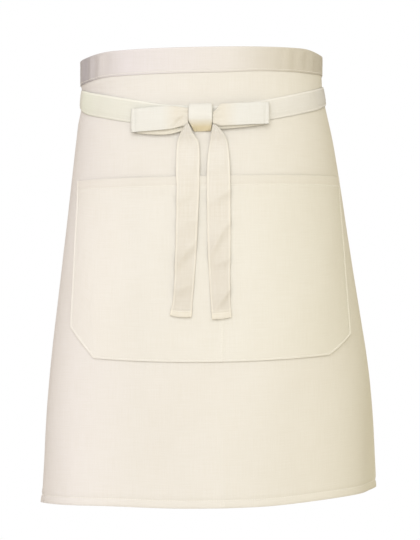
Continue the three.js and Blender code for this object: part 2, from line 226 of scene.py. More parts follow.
def smooth(rows, at):
    """A table's columns on a smooth curve through its rows, at values of its first column."""
    key, values = rows[:, 0], rows[:, 1:]
    count = len(key)
    before = np.maximum(np.arange(count) - 1, 0)
    after = np.minimum(np.arange(count) + 1, count - 1)
    slope = (values[after] - values[before]) / (key[after] - key[before])[:, None]
    i = np.clip(np.searchsorted(key, at) - 1, 0, count - 2)
    span = (key[i + 1] - key[i])[..., None]
    t = (at - key[i])[..., None] / span
    return (
        (2 * t**3 - 3 * t**2 + 1) * values[i]
        + (t**3 - 2 * t**2 + t) * span * slope[i]
        + (3 * t**2 - 2 * t**3) * values[i + 1]
        + (t**3 - t**2) * span * slope[i + 1]
    )


def columns(rows, at):
    """The same, with each column apart."""
    return np.moveaxis(smooth(rows, np.asarray(at, float)), -1, 0)


def ease(value, low, high):
    """0 below low, 1 above high, and a smooth rise between."""
    t = np.clip((value - low) / (high - low), 0, 1)
    return t * t * (3 - 2 * t)


def between(value, begins, full, lessens, ends):
    """A smooth rise from 0 to 1 and, further on, a smooth fall back to 0."""
    return ease(value, begins, full) * ease(-value, -ends, -lessens)


def bell(distance, half_width):
    return np.exp(-((distance / half_width) ** 2))


def blend(a, b, t):
    return a + (b - a) * t


def unit(vectors):
    return vectors / np.linalg.norm(vectors, axis=-1, keepdims=True)


def run_of(points):
    """The distance run at each point of a line."""
    return np.r_[0, np.cumsum(np.linalg.norm(np.diff(points, axis=0), axis=1))]


# A part of a step that is only rounding
ROUNDING = 1e-6


def stations(stops, step):
    """Even steps of at most a given size between stops that are all kept."""
    made = [np.array([stops[0]], float)]
    for low, high in zip(stops[:-1], stops[1:]):
        count = max(1, math.ceil((high - low) / step - ROUNDING))
        made.append(np.linspace(low, high, count + 1)[1:])
    return np.concatenate(made)


LATTICE = 64


def soft_noise(u, v, size, seed):
    """Smooth hills and dips from -1 to 1, about a given size apart."""
    lattice = np.random.RandomState(seed).uniform(-1, 1, (LATTICE, LATTICE))
    i, j = np.floor(u / size).astype(int), np.floor(v / size).astype(int)
    f, g = (t**3 * (t * (t * 6 - 15) + 10) for t in (u / size - i, v / size - j))
    i, i_next, j, j_next = (k % LATTICE for k in (i, i + 1, j, j + 1))
    top = blend(lattice[i, j], lattice[i_next, j], f)
    low = blend(lattice[i, j_next], lattice[i_next, j_next], f)
    return blend(top, low, g)


def unevenness(name, u, v):
    return sum(height * soft_noise(u, v * close, size, seed) for height, size, close, seed in HILLS[name])


# The form

TABLE_DROPS = np.arange(-20.0, 681.0, 4.0)
TABLE_ALONGS = np.arange(-520.0, 521.0, 2.0)
TABLE_TURNS = np.linspace(-math.pi, math.pi, 1441)
# The steps over which a surface's slope is measured
PROBE = 2
PROBE_TURN = 0.02


def form_turn(turn, drop):
    """Points of the form at turns round it, in radians from the front."""
    left, right, front, back, left_at, right_at = columns(SECTIONS, drop)
    s, c = np.sin(turn), np.cos(turn)
    widest = np.where(s > 0, right_at, left_at)
    furthest = np.where(c > 0, front, back)
    x = (left + right) / 2 + (right - left) / 2 * np.sign(s) * np.abs(s) ** FLATNESS
    y = widest + (furthest - widest) * np.abs(c) ** FLATNESS
    return np.stack([x, y, -drop + TILT * x], -1)


def turn_table():
    """The turn at each place along each of a set of sections."""
    front = np.abs(TABLE_TURNS) < math.pi / 2
    rows = []
    for drop in TABLE_DROPS:
        points = form_turn(TABLE_TURNS, np.full_like(TABLE_TURNS, drop))
        along = run_of(points)
        along -= np.interp(CREASE_X, points[front, 0], along[front])
        rows.append(np.interp(TABLE_ALONGS, along, TABLE_TURNS))
    return np.array(rows)


TURNS = turn_table()


def turn_of(along, drop):
    a = (along - TABLE_ALONGS[0]) / (TABLE_ALONGS[1] - TABLE_ALONGS[0])
    d = (drop - TABLE_DROPS[0]) / (TABLE_DROPS[1] - TABLE_DROPS[0])
    i = np.clip(np.floor(d).astype(int), 0, len(TABLE_DROPS) - 2)
    j = np.clip(np.floor(a).astype(int), 0, len(TABLE_ALONGS) - 2)
    f, g = d - i, a - j
    top = blend(TURNS[i, j], TURNS[i, j + 1], g)
    low = blend(TURNS[i + 1, j], TURNS[i + 1, j + 1], g)
    return blend(top, low, f)


def form_point(along, drop):
    return form_turn(turn_of(along, drop), drop)


def offset(surface, u, v, step_u, step_v, out):
    """Points at distances outwards from a surface of u, towards +X, and v, downwards."""
    across = surface(u + step_u, v) - surface(u - step_u, v)
    down = surface(u, v + step_v) - surface(u, v - step_v)
    return surface(u, v) + unit(np.cross(down, across)) * out[..., None]


def corner_share(along, drop):
    """How much of the turned-out corner's lift a place has."""
    to_corner = np.hypot(along + PANEL_HALF, drop - LENGTH) / CORNER_REACH
    return np.maximum(0, 1 - to_corner) ** 2


def fold_out(along, drop):
    out = np.zeros_like(along)
    for middle, half_width, depth, begins in FOLDS:
        out += depth * ease(drop, begins, LENGTH) * bell(along - middle, half_width)
    diagonal = (along + PANEL_HALF) / CORNER_ACROSS - (drop - LENGTH) / CORNER_UP - 1
    dent = bell(diagonal, CORNER_DENT_SHARE) * bell(along + PANEL_HALF, CORNER_DENT_REACH)
    return out + CORNER_DEPTH * corner_share(along, drop) - CORNER_DENT * dent


def on_form(along, drop, out):
    return offset(form_point, along, drop, PROBE, PROBE, out + fold_out(along, drop))


def on_turn(turn, drop, out):
    return offset(form_turn, turn, drop, PROBE_TURN, PROBE, out)


def cinch(along, drop):
    beside = ((along - CINCH_ALONG) / CINCH_HALF_WIDTH) ** 2
    below = ((drop - CINCH_DROP) / CINCH_HALF_HEIGHT) ** 4
    return CINCH * np.exp(-beside - below) * ease(drop, *CINCH_FADE)


# Meshes

RIM = 0.5
RIM_FIRST = 0.15
RIM_THINNEST = 0.3


def rounded(stops, step, seams=()):
    """Stations between two edges, close together at the edges and at seams."""
    low, high = stops[0], stops[-1]
    close = [low, low + RIM_FIRST, low + RIM, high - RIM, high - RIM_FIRST, high, *stops[1:-1]]
    for middle in seams:
        close += [middle - SEAM_HALF_WIDTH, middle, middle + SEAM_HALF_WIDTH]
    return stations(sorted(set(close)), step)


def set_all(thing, settings):
    for key, value in settings.items():
        setattr(thing, key, value)


def placed(name, data):
    made = bpy.data.objects.new(name, data)
    bpy.context.scene.collection.objects.link(made)
    return made


def mesh_object(name, points, faces, material, cloth=None):
    mesh = bpy.data.meshes.new(name)
    mesh.from_pydata((points * MM).tolist(), [], faces)
    mesh.polygons.foreach_set("use_smooth", np.ones(len(mesh.polygons), bool))
    if cloth is not None:
        flat = np.zeros((len(points), 3), np.float32)
        flat[:, :2] = cloth * MM
        mesh.attributes.new("cloth", "FLOAT_VECTOR", "POINT").data.foreach_set("vector", flat.ravel())
    mesh.materials.append(material)
    piece = placed(name, mesh)
    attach(piece, "root")
    return piece


def sheet_piece(name, us, vs, place, material):
    """A sheet of cloth with rounded edges. place(u, v, side) has side from -0.5, inside, to 0.5, outside."""
    u, v = np.meshgrid(us, vs)
    edge = np.minimum(np.minimum(u - us[0], us[-1] - u), np.minimum(v - vs[0], vs[-1] - v))
    round_off = np.sqrt(1 - (1 - np.clip(edge / RIM, 0, 1)) ** 2)
    half = 0.5 * np.maximum(round_off, RIM_THINNEST)
    count = u.size
    points = np.concatenate([place(u, v, side).reshape(-1, 3) for side in (half, -half)])
    index = np.arange(count).reshape(u.shape)
    outer = np.stack([index[:-1, :-1], index[1:, :-1], index[1:, 1:], index[:-1, 1:]], -1).reshape(-1, 4)
    inner = outer[:, ::-1] + count
    border = np.concatenate([index[:-1, 0], index[-1, :-1], index[:0:-1, -1], index[0, :0:-1]])
    following = np.roll(border, -1)
    rim = np.stack([following, border, border + count, following + count], -1)
    flat = np.stack([u.ravel(), v.ravel()], -1)
    faces = np.concatenate([outer, inner, rim]).tolist()
    return mesh_object(name, points, faces, material, np.concatenate([flat, flat]))


def strip_piece(name, kind, length, width, place, material):
    """A strip of cloth, its mesh closer together at both long edges and at a seam line just inside each."""
    half = width / 2
    row = half - STITCH_INSET
    us = rounded((0, length), STEPS[kind][0])
    vs = rounded((-half, half), STEPS[kind][1], (-row, row))
    return sheet_piece(name + "_cloth", us, vs, place, material)


def tube_piece(name, points, flat, material, turned=False):
    """A tube through rings of points with a flat face at each end. turned: the rings run the other way."""
    index = np.arange(points.shape[0] * points.shape[1]).reshape(points.shape[:2])
    around = np.roll(index, -1, 1)
    corners = [index[:-1], index[1:], around[1:], around[:-1]]
    ends = [index[0], index[-1][::-1]]
    if turned:
        corners = [corners[0], *corners[:0:-1]]
        ends = [end[::-1] for end in ends]
    faces = np.stack(corners, -1).reshape(-1, 4).tolist() + [end.tolist() for end in ends]
    return mesh_object(name, points.reshape(-1, 3), faces, material, flat.reshape(-1, 2))


def seam(distance, deeper=1, wider=1):
    """The dent that a row of stitches pulls into the cloth, at distances from it."""
    return deeper * (-SEAM_DEPTH * bell(distance / wider, SEAM_HALF_WIDTH))


def stitch_row(place, route):
    """Rings of points of the stitches along a route on the outer side of a piece."""
    route = np.array(route, float)
    reach = run_of(route)
    fine = np.arange(0, reach[-1], ROW_STEP)
    u, v = np.interp(fine, reach, route[:, 0]), np.interp(fine, reach, route[:, 1])
    side = np.full_like(u, 0.5)
    points = place(u, v, side)
    normal = unit(np.cross(place(u, v + ROW_STEP, side) - points, place(u + ROW_STEP, v, side) - points))
    run = run_of(points)
    starts = np.arange(STITCH_PITCH / 2, run[-1] - STITCH_PITCH, STITCH_PITCH)

    def on_row(values, at):
        return np.stack([np.interp(at, run, column) for column in values.T], -1)

    turns = np.arange(STITCH_SIDES) * 2 * math.pi / STITCH_SIDES
    rings = []
    for share, rise, width in STITCH_RINGS:
        at = starts + share * STITCH_LENGTH
        centre, up = on_row(points, at), on_row(normal, at)
        aside = unit(np.cross(up, on_row(points, at + ROW_AHEAD) - centre))
        centre = centre + up * rise * STITCH_RISE
        half = STITCH_HALF_WIDTH * width
        ring = [centre + half * (aside * math.cos(t) + STITCH_FLATNESS * up * math.sin(t)) for t in turns]
        rings.append(np.stack(ring, 1))
    return np.stack(rings, 1)


def stitching(name, rows, material):
    """One mesh of all the stitches in some rows, each a short rounded thread."""
    rings = np.concatenate(rows)
    count, lengths, sides = rings.shape[:3]
    index = np.arange(lengths * sides).reshape(lengths, sides)
    around = np.roll(index, -1, 1)
    walls = np.stack([index[:-1], around[:-1], around[1:], index[1:]], -1).reshape(-1, 4)
    first, last = index[0], index[-1]
    ends = [first[[3, 2, 1, 0]], first[[5, 4, 3, 0]], last[[0, 1, 2, 3]], last[[0, 3, 4, 5]]]
    one = np.concatenate([walls, np.array(ends)])
    faces = (one[None] + (np.arange(count) * lengths * sides)[:, None, None]).reshape(-1, 4)
    return mesh_object(name, rings.reshape(-1, 3), faces.tolist(), material)


# Nodes

# The colour sockets of a mix node
MIX_FIRST, MIX_SECOND, MIX_RESULT = 6, 7, 2


def connect(node, sockets):
    """Puts values, or the outputs of other nodes, into a node's sockets."""
    for socket, value in sockets.items():
        if isinstance(value, bpy.types.NodeSocket):
            node.id_data.links.new(value, node.inputs[socket])
        else:
            node.inputs[socket].default_value = value


def new_node(tree, kind, sockets, **settings):
    node = tree.nodes.new(kind)
    set_all(node, settings)
    connect(node, sockets)
    return node


def colours_by(tree, value, stops):
    """Colours by a value, on straight lines between stops that are each a value and a colour."""
    low, high = stops[0][0], stops[-1][0]
    span = new_node(tree, "ShaderNodeMapRange", {"Value": value, "From Min": low, "From Max": high})
    ramp = new_node(tree, "ShaderNodeValToRGB", {0: span.outputs[0]})
    elements = ramp.color_ramp.elements
    elements.remove(elements[1])
    elements[0].position = 0
    elements[0].color = (*stops[0][1], 1)
    for at, colour in stops[1:]:
        elements.new((at - low) / (high - low)).color = (*colour, 1)
    return ramp.outputs[0]


def product(tree, first, second):
    sockets = {"Factor": 1, MIX_FIRST: first, MIX_SECOND: second}
    mix = new_node(tree, "ShaderNodeMix", sockets, data_type="RGBA", blend_type="MULTIPLY")
    return mix.outputs[MIX_RESULT]


# Cotton

PLAIN = (1, 1, 1)
# Painted light and shade on the panel, pocket and waistband from the -X end to the +X end: along, tint
# The panel painted lighter and bluer towards -X and yellower towards +X, as if lit cool from -X and warm
# from +X
PANEL_PAINTED_SHADING = [
    (-310, (1.01, 1.005, 1.07)),
    (-200, (1.05, 1.05, 1.11)),
    (-110, (1.005, 1.012, 1.035)),
    (40, (1.01, 1.018, 1.01)),
    (150, (1, 1, 0.95)),
    (310, (1, 1, 0.88)),
]
# The pocket's -X side painted lighter still
POCKET_PAINTED_SHADING = [(-205, (1.1, 1.1, 1.15)), *PANEL_PAINTED_SHADING[2:]]
# Painted shade: the waistband darker where it turns away round the sides, and yellower towards +X
BAND_PAINTED_SHADING = [
    (-310, (0.97, 0.96, 0.96)),
    (-205, (0.60, 0.585, 0.65)),
    (-165, (0.88, 0.865, 0.905)),
    (-125, (0.99, 0.98, 1.05)),
    (10, PLAIN),
    (95, (0.84, 0.82, 0.73)),
    (160, (0.785, 0.765, 0.68)),
    (310, (0.97, 0.96, 0.93)),
]
# The pocket's folded mouth, a little darker: distance below its top edge, tint
MOUTH_TINT = (0.975, 0.965, 0.96)
MOUTH_DRIFT = [(0, MOUTH_TINT), (12, MOUTH_TINT), (15, PLAIN), (300, PLAIN)]
# Painted light and shade on ties and loops by distance along them, on tails by drop, and on the knot round
# its wrap
# Each tie painted lighter where it turns round the -X side and darker where it turns round the +X side
TIE_PAINTED_SHADINGS = {
    "tie_left": [
        (0, PLAIN),
        (325, PLAIN),
        (377, (1.12, 1.18, 1.12)),
        (428, (1, 1.02, 0.99)),
        (546, (0.97, 0.99, 0.99)),
    ],
    "tie_right": [(0, PLAIN), (140, PLAIN), (215, (0.82, 0.82, 0.85)), (300, (0.97, 0.97, 0.97))],
}
# Painted shade on the loops: the back leaf warmer and darker, and the front leaf again towards the knot
LOOP_SHADE_PAINT = (1, 0.96, 0.88)
LOOP_PAINTED_SHADING = [(0, LOOP_SHADE_PAINT), (62, LOOP_SHADE_PAINT), (76, PLAIN), (116, PLAIN), (134, (0.98, 0.94, 0.88))]
# Painted light and shade on the tails: a little lighter at the top, darker just above the hem, and the hem
# lighter
TAIL_SHADE_PAINT = (0.935, 0.92, 0.9)
TAIL_PAINTED_SHADING = [
    (100, (1.01, 1.015, 1.03)),
    (200, (0.99, 0.985, 0.975)),
    (330, TAIL_SHADE_PAINT),
    (344, TAIL_SHADE_PAINT),
    (348, (1.02, 1.01, 0.97)),
]
# Painted shade: the knot's underside, where it turns away from the light, darker and yellower
KNOT_SHADE_PAINT = (0.96, 0.85, 0.61)
KNOT_PAINTED_SHADING = [(-38, PLAIN), (-19, KNOT_SHADE_PAINT), (-8, KNOT_SHADE_PAINT), (-0.5, PLAIN), (38, PLAIN)]
# A painted highlight along the upper edge of ties and both edges of tails: place across, tint
TIE_EDGE_HIGHLIGHT_PAINT = (1.1, 1.1, 1.11)
TIE_EDGE_PAINTED_HIGHLIGHT = [(-14, TIE_EDGE_HIGHLIGHT_PAINT), (-12, TIE_EDGE_HIGHLIGHT_PAINT), (-11.4, PLAIN), (14, PLAIN)]
TAIL_EDGE_HIGHLIGHT_PAINT = (1.07, 1.07, 1.06)
TAIL_EDGE_PAINTED_HIGHLIGHT = [
    (0, TAIL_EDGE_HIGHLIGHT_PAINT), (2, TAIL_EDGE_HIGHLIGHT_PAINT), (2.8, PLAIN), (27.2, PLAIN), (28, TAIL_EDGE_HIGHLIGHT_PAINT),
]

# Weaves: the threads' pitch and depth
CLOTH_WEAVE = (0.55, 0.10)
TAPE_WEAVE = (0.5, 0.09)
THREAD_WEAVE = (0.3, 0.03)
COTTON_SHADER = {"Specular IOR Level": 0.25, "Sheen Weight": 0.12, "Sheen Roughness": 0.5}
COTTON_ROUGHNESS = {"To Min": 0.82, "To Max": 0.96}
THREAD_WAVE = {"Distortion": 0.6, "Detail": 1, "Detail Scale": 0.4}
# A wave texture runs through this many radians in one unit at scale 1
WAVE_RADIANS = 20
# How high single threads stand beside their crossings
SINGLE_THREADS = 0.25
# Thicker threads, as noise cells in a metre across and along them
SLUBS_ACROSS, SLUBS_ALONG, SLUB_DETAIL = 900, 30, 2
# Uneven patches: their size, how much longer they are downwards, and their detail
PATCH_SIZE, PATCH_LENGTH, PATCH_DETAIL = 120, 1.25, 3
# The summed tones that come out darkest and lightest
TONE_RANGE = (1.2, 1.8)
# How far the cloth's red, green and blue vary from their mean, as shares of it
UNEVEN = np.array([0.018, 0.022, 0.032])


def cotton(name, colour, weave, drifts=(), patch_size=PATCH_SIZE, uneven=1):
    """Woven cotton: threads both ways, thicker threads here and there, and a colour never quite even."""
    pitch, depth = weave
    material = bpy.data.materials.new(name)
    material.use_nodes = True
    tree = material.node_tree
    place = new_node(tree, "ShaderNodeAttribute", {}, attribute_name="cloth").outputs["Vector"]

    def joined(operation, a, b):
        return new_node(tree, "ShaderNodeMath", {0: a, 1: b}, operation=operation).outputs[0]

    def threads(direction):
        sockets = {"Vector": place, "Scale": 2 * math.pi / (WAVE_RADIANS * pitch * MM), **THREAD_WAVE}
        return new_node(tree, "ShaderNodeTexWave", sockets, bands_direction=direction).outputs["Fac"]

    def cells(across, down, detail):
        stretch = new_node(tree, "ShaderNodeMapping", {"Vector": place, "Scale": (across, down, 1)})
        sockets = {"Vector": stretch.outputs[0], "Scale": 1, "Detail": detail}
        return new_node(tree, "ShaderNodeTexNoise", sockets).outputs["Fac"]

    warp, weft = threads("X"), threads("Y")
    single = joined("MULTIPLY", joined("ADD", warp, weft), SINGLE_THREADS)
    woven = joined("ADD", joined("MULTIPLY", warp, weft), single)
    thick_warp = cells(SLUBS_ACROSS, SLUBS_ALONG, SLUB_DETAIL)
    thick_weft = cells(SLUBS_ALONG, SLUBS_ACROSS, SLUB_DETAIL)
    slubs = joined("ADD", thick_warp, thick_weft)
    sockets = {"Height": joined("ADD", woven, slubs), "Strength": 1, "Distance": depth * MM}
    bump = new_node(tree, "ShaderNodeBump", sockets)
    rough = new_node(tree, "ShaderNodeMapRange", {"Value": woven, **COTTON_ROUGHNESS})

    in_a_metre = 1 / (patch_size * MM)
    patches = cells(in_a_metre, in_a_metre / PATCH_LENGTH, PATCH_DETAIL)
    shades = [np.array(colour) * (1 + sign * uneven * UNEVEN) for sign in (-1, 1)]
    base = colours_by(tree, joined("ADD", slubs, patches), list(zip(TONE_RANGE, shades)))
    split = new_node(tree, "ShaderNodeSeparateXYZ", {0: place})
    # Tints along the cloth's axes multiplied in, most of them painted light and shade
    for axis, drift in drifts:
        stops = [(at * MM, tint) for at, tint in drift]
        base = product(tree, base, colours_by(tree, split.outputs[axis], stops))
    sockets = {"Base Color": base, "Normal": bump.outputs[0], "Roughness": rough.outputs[0]}
    connect(tree.nodes["Principled BSDF"], {**COTTON_SHADER, **sockets})
    return material


PANEL_COTTON = cotton("panel_cotton", (0.735, 0.698, 0.637), CLOTH_WEAVE, [("X", PANEL_PAINTED_SHADING)])
BAND_COTTON = cotton("band_cotton", (0.721, 0.684, 0.641), CLOTH_WEAVE, [("X", BAND_PAINTED_SHADING)])
POCKET_COTTON = cotton(
    "pocket_cotton", (0.739, 0.706, 0.638), CLOTH_WEAVE, [("X", POCKET_PAINTED_SHADING), ("Y", MOUTH_DRIFT)]
)
LOOP_COTTON = cotton("loop_cotton", (0.734, 0.723, 0.678), TAPE_WEAVE, [("X", LOOP_PAINTED_SHADING)])
TIE_COTTONS = {
    name: cotton(name + "_cotton", (0.734, 0.711, 0.653), TAPE_WEAVE, [("X", drift), ("Y", TIE_EDGE_PAINTED_HIGHLIGHT)])
    for name, drift in TIE_PAINTED_SHADINGS.items()
}
TAIL_COTTON = cotton(
    "tail_cotton",
    (0.722, 0.687, 0.621),
    TAPE_WEAVE,
    [("Y", TAIL_PAINTED_SHADING), ("X", TAIL_EDGE_PAINTED_HIGHLIGHT)],
    patch_size=40,
    uneven=1.6,
)
KNOT_COTTON = cotton("knot_cotton", (0.734, 0.72, 0.673), TAPE_WEAVE, [("X", KNOT_PAINTED_SHADING)])
THREAD = cotton("thread", (0.838, 0.808, 0.743), THREAD_WEAVE)


# Skirt panel

SIDE_SEAM = PANEL_HALF - HEM
HEM_SEAM = LENGTH - HEM
# The pressed crease, and a sharper one beside its foot: along, half width, height, drop from, drop to
PANEL_CREASES = [(0, 14, 2.6, 420, 560), (4, 2.5, 1.4, 530, 590)]
HEM_PUCKER_REACH = 6
# The drops over which hills and seams fade in below the waistband
PANEL_HILLS_FADE = (BAND_HEIGHT, BAND_HEIGHT + 40)
PANEL_SEAMS_FADE = (40, 44)
SIDE_ROWS = (BAND_HEIGHT + 3, LENGTH - 2)
# Two short rows across the hem, either side of the crease
CREASE_ROWS = (-2.5, 2.5)
CREASE_ROWS_END = LENGTH - 1.5


def panel_relief(along, drop):
    """Unevenness of hanging cloth, the creases at its middle and the dents of its seams."""
    hills = unevenness("panel", along, drop) * ease(drop, *PANEL_HILLS_FADE)
    creases = sum(
        height * np.exp(-np.abs(along - middle) / half_width) * ease(drop, begins, full)
        for middle, half_width, height, begins, full in PANEL_CREASES
    )
    to_hem = drop - HEM_SEAM
    puckers = unevenness("panel_hem", along, drop) * bell(to_hem, HEM_PUCKER_REACH)
    seams = puckers + seam(to_hem, *HEM_GROOVE) + seam(np.abs(along) - SIDE_SEAM)
    return hills + creases + seams * ease(drop, *PANEL_SEAMS_FADE) - cinch(along, drop)


def panel_place(along, drop, side):
    below_band = ease(drop, BAND_HEIGHT, BAND_HEIGHT + HEM_STEP)
    hem = np.maximum(
        ease(drop, HEM_SEAM - HEM_STEP, HEM_SEAM),
        below_band * ease(np.abs(along), SIDE_SEAM - HEM_STEP, SIDE_SEAM),
    )
    thick = CLOTH * (1 + hem)
    droop = CORNER_DROOP * corner_share(along, drop)
    for begins, full, rise in HEM_RISES:
        droop -= rise * ease(along / full, begins / full, 1) * ease(drop, HEM_RISE_FROM, LENGTH)
    return on_form(along, drop + droop, CLOTH + (side - 0.5) * thick + panel_relief(along, drop))


panel = sheet_piece(
    "skirt_panel_cloth",
    rounded((-PANEL_HALF, 0, PANEL_HALF), STEPS["panel"][0], (-SIDE_SEAM, SIDE_SEAM)),
    rounded((BAND_HEIGHT - BAND_SEAM + GAP, BAND_HEIGHT, LENGTH), STEPS["panel"][1], (HEM_SEAM,)),
    panel_place,
    PANEL_COTTON,
)
panel_stitches = stitching(
    "panel_stitching",
    [
        stitch_row(panel_place, [(-SIDE_SEAM, HEM_SEAM), (SIDE_SEAM, HEM_SEAM)]),
        *[stitch_row(panel_place, [(a, drop) for drop in SIDE_ROWS]) for a in (-SIDE_SEAM, SIDE_SEAM)],
        *[stitch_row(panel_place, [(a, HEM_SEAM), (a, CREASE_ROWS_END)]) for a in CREASE_ROWS],
    ],
    THREAD,
)


# Waistband

BAND_OUTER = 2 * CLOTH + GAP
BAND_INNER = -GAP - CLOTH
BAND_STITCH = BAND_HEIGHT - 2.6
BAND_ROUND = 0.3
BAND_TAPER = 0.5
BAND_STEP = 3.3
OUTER_LEAF_STEP = 2.2
INNER_LEAF_STEP = 4
BAND_FOLD_STEPS = 8
# How far the weave moves on for each millimetre from the outer leaf inwards
LEAF_SHIFT = 3
# Upright puckers where the band turns round the sides: along, slope, half width, depth
BAND_PUCKERS = [
    (82, 0.05, 4, -0.5),
    (93, 0, 3.5, 0.5),
    (103, 0.05, 4, -0.6),
    (114, 0, 4, 0.6),
    (124, 0.05, 4, -0.7),
    (136, 0, 4, 0.7),
    (-158, 0.05, 4.5, -0.9),
    (-169, 0.1, 3.5, 1.5),
    (-179, 0.12, 4, -1.2),
    (-189, 0.05, 3.5, 1.5),
    (-198, 0, 4, -1.1),
    (-214, 0.1, 5, 1.3),
    (-236, 0, 7, -1.0),
]
BAND_DEEPEST = -0.9
# The drops where the puckers begin, are full, lessen and end
PUCKERS_FADE = (1, 8, BAND_HEIGHT - 6, BAND_HEIGHT + 2)
# The band dips round the sides and is narrower at +X: where along it this begins, is full, lessens and ends
BAND_DIP = 4.5
DIP_RIGHT = (150, 220, 240, 300)
DIP_LEFT = (115, 170, 240, 300)
NARROW_LEFT = (-10, 60, 110, 150)
# How far the lower edge rises at +X, as shares of the dip
RISE_AT_DIP, RISE_BEFORE_DIP = 1.6, 0.4


def band_section():
    """The strip's section as out and drop: up the outer leaf, over the fold, down the inner and back."""
    radius = (BAND_OUTER - BAND_INNER) / 2
    centre = (BAND_OUTER + BAND_INNER) / 2
    inside = radius - CLOTH
    foot = BAND_HEIGHT - BAND_ROUND
    at_stitch = [-BAND_STITCH - SEAM_HALF_WIDTH, -BAND_STITCH, -BAND_STITCH + SEAM_HALF_WIDTH]
    rise = stations([-foot, *at_stitch, -radius], OUTER_LEAF_STEP)
    fall = stations([radius, foot], INNER_LEAF_STEP)
    arc = np.linspace(0, math.pi, BAND_FOLD_STEPS + 1)[1:-1]
    thin = BAND_ROUND / 2
    return np.array(
        [(BAND_OUTER - BAND_TAPER * ease(-drop, BAND_STITCH, BAND_HEIGHT), -drop) for drop in rise]
        + [(centre + radius * math.cos(t), radius - radius * math.sin(t)) for t in arc]
        + [(BAND_INNER, drop) for drop in fall]
        + [(BAND_INNER + BAND_ROUND, BAND_HEIGHT), (-GAP - BAND_ROUND, BAND_HEIGHT)]
        + [(-GAP, drop) for drop in fall[::-1]]
        + [(centre - inside * math.cos(t), radius - inside * math.sin(t)) for t in arc]
        + [(CLOTH + GAP, drop) for drop in fall]
        + [(CLOTH + GAP + thin, BAND_HEIGHT), (BAND_OUTER - BAND_TAPER - thin, BAND_HEIGHT)]
    )


def band_relief(along, drop):
    puckers = sum(
        depth * bell(along - middle + slope * drop, half_width)
        for middle, slope, half_width, depth in BAND_PUCKERS
    )
    relief = np.maximum(puckers + unevenness("band", along, drop), BAND_DEEPEST)
    return relief * between(drop, *PUCKERS_FADE)


def band_dip(along, drop):
    """How much lower the band sits where it turns round the sides."""
    at_right, at_left = between(-along, *DIP_RIGHT), between(along, *DIP_LEFT)
    rise = RISE_AT_DIP * at_left + RISE_BEFORE_DIP * between(along, *NARROW_LEFT)
    return BAND_DIP * (at_right + at_left - rise * drop / BAND_HEIGHT)


def band_place(along, drop, side):
    out = BAND_OUTER + (side - 0.5) * CLOTH + band_relief(along, drop) + seam(drop - BAND_STITCH)
    return on_form(along, drop + band_dip(along, drop), out)


def band_piece():
    section = band_section()
    stops = rounded((-PANEL_HALF, PANEL_HALF), BAND_STEP)
    along = np.repeat(stops[:, None], len(section), 1)
    out, drop = (np.broadcast_to(column, along.shape) for column in section.T)
    on_face = ease(out, CLOTH + GAP, BAND_OUTER)
    relief = on_face * (band_relief(along, drop) + seam(drop - BAND_STITCH))
    points = on_form(along, drop + band_dip(along, drop), out + relief)
    flat = np.stack([along, drop + LEAF_SHIFT * (BAND_OUTER - out)], -1)
    return tube_piece("waistband_cloth", points, flat, BAND_COTTON)


band = band_piece()
band_stitches = stitching(
    "waistband_stitching",
    [stitch_row(band_place, [(a, BAND_STITCH) for a in (-PANEL_HALF + ROW_INSET, PANEL_HALF - ROW_INSET)])],
    THREAD,
)


# Pocket

POCKET_DEPTH = POCKET_BOTTOM - POCKET_TOP
POCKET_CORNERS = [width - across for width, across in zip(POCKET_WIDTHS, POCKET_CUTS_ACROSS)]
POCKET_HEM_STITCH = POCKET_HEM - 1.8
POCKET_HEM_ROW_INSET = 3
POCKET_ROW_TOP = 1.5
# The middle seam's ridge, the groove beside it, and its stitches
RIDGE_HEIGHT, RIDGE_HALF_WIDTH = 0.6, 1.6
RIDGE_FADE = (2, 4)
RIDGE_ROWS = (-0.9, 0.9)
GROOVE_ALONG, GROOVE_DEEPER = 3, 1.5
# The pressed edge, and the distances from the edge where it lessens and ends
EDGE_HEIGHT = 0.8
EDGE_FADE = (1.2, 2.4)
POCKET_FLAT_EDGE = 20
POCKET_SETTLES = (POCKET_HEM - HEM_STEP, POCKET_HEM + 14)
# The deepest dents of the inner and outer faces
POCKET_DEEPEST = (-0.25, -0.55)
# Close stitches across the upper corners
TACK_TOP, TACK_HEIGHT, TACK_PITCH = 1.2, 9, 0.7
TACK_INSET = 3.2
TACK_HALF_WIDTH = STITCH_LENGTH / 2 + 1.6


def of_half(along, values):
    """The value for the pocket's half that a place is in."""
    return np.where(along < 0, *values)


def pocket_bottom(along):
    """The drop of the pocket's lower edge: a shallow bow, and then the slant up a cut corner."""
    across = of_half(along, POCKET_CUTS_ACROSS)
    corner = of_half(along, POCKET_WIDTHS) - across
    bowed = of_half(along, POCKET_BOWS) * np.minimum(1, np.abs(along) / corner) ** 2
    into_corner = np.maximum(0, (np.abs(along) - corner) / across)
    return POCKET_BOTTOM - bowed - into_corner * of_half(along, POCKET_CUTS_UP)


def pocket_gap(along, drop):
    across = np.clip(np.abs(along) / of_half(along, POCKET_WIDTHS), 0, 1)
    down = (drop - POCKET_TOP) / (pocket_bottom(along) - POCKET_TOP)
    return GAP + POCKET_BELLY * np.sin(math.pi * across) ** POCKET_FULLNESS * (1 - down**2)


def pocket_drop(along, row):
    """The drop at rows that count from the mouth and close up towards the cut corners."""
    share = (row - POCKET_HEM) / (POCKET_DEPTH - POCKET_HEM)
    below_hem = blend(POCKET_TOP + POCKET_HEM, pocket_bottom(along), share)
    return np.where(row <= POCKET_HEM, POCKET_TOP + row, below_hem)


